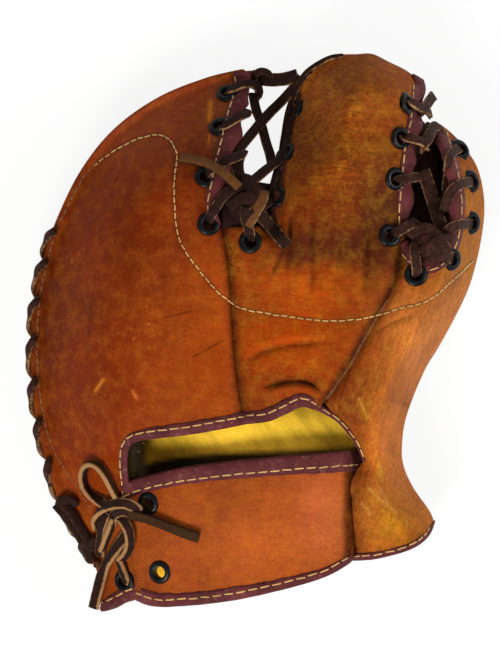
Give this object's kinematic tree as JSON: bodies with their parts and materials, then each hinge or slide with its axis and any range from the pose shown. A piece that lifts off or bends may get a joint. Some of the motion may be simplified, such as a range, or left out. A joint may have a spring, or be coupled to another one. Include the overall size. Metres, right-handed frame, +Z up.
{
  "type": "first base mitt",
  "caption": "Leather first base mitt for the left hand: padded finger and thumb sections, laced web lobe, open back window and tied wrist strap.",
  "frame": {"origin": "middle of the bounding box on the table that the mitt lies on, palm down", "axes": "+Z up from the table towards the back of the hand, +Y from the wrist to the fingertips, +X towards the thumb"},
  "size_m": [0.2376, 0.2862, 0.0895],
  "materials": {
    "back_leather": "worn smooth oiled hide",
    "web_leather": "napped worn hide",
    "palm_leather": "smooth oiled hide",
    "binding": "thin folded maroon hide",
    "lace": "dark flat rawhide lace with tan edges",
    "felt": "pressed wool felt",
    "lining": "soft ochre lining hide",
    "eyelet": "black enamel"
  },
  "bodies": {
    "hand": {"finger_back_panel": "back_leather", "hand_back_panel": "web_leather", "finger_palm_panel": "palm_leather", "finger_felt_pad": "felt", "hand_lining": "lining", "wrist_strap": "back_leather", "strap_lining": "lining", "opening_binding": "binding", "finger_web_binding": "binding", "heel_binding": "binding", "strap_top_binding": "binding", "strap_bottom_binding": "binding", "rim_lace": "lace", "wrist_lace": "lace", "finger_eyelet_1": "eyelet", "finger_eyelet_2": "eyelet", "finger_eyelet_3": "eyelet", "finger_eyelet_4": "eyelet", "back_eyelet_1": "eyelet", "back_eyelet_2": "eyelet", "strap_eyelet_1": "eyelet", "strap_eyelet_2": "eyelet", "heel_eyelet_1": "eyelet", "web_palm_panel": "palm_leather", "web_left_binding": "binding", "web_right_binding": "binding", "left_web_lace": "lace", "right_web_lace": "lace", "web_left_eyelet_1": "eyelet", "web_left_eyelet_2": "eyelet", "web_left_eyelet_3": "eyelet", "web_right_eyelet_1": "eyelet", "web_right_eyelet_2": "eyelet", "web_right_eyelet_3": "eyelet"},
    "thumb": {"thumb_back_panel": "back_leather", "thumb_palm_panel": "palm_leather", "thumb_felt_pad": "felt", "thumb_lining": "lining", "thumb_web_binding": "binding", "thumb_opening_binding": "binding", "thumb_heel_binding": "binding", "thumb_eyelet_1": "eyelet", "thumb_eyelet_2": "eyelet", "thumb_eyelet_3": "eyelet", "thumb_eyelet_4": "eyelet", "thumb_eyelet_5": "eyelet"}
  },
  "joints": [
    {"name": "mitt_close", "type": "hinge", "parent": "hand", "child": "thumb", "pos_m": [0.04825, 0, 0.026], "axis": [0, 1, 0], "range_deg": [0, 28], "stiffness_Nm_per_rad": 0.6, "deforming": ["right_web_lace"]}
  ]
}
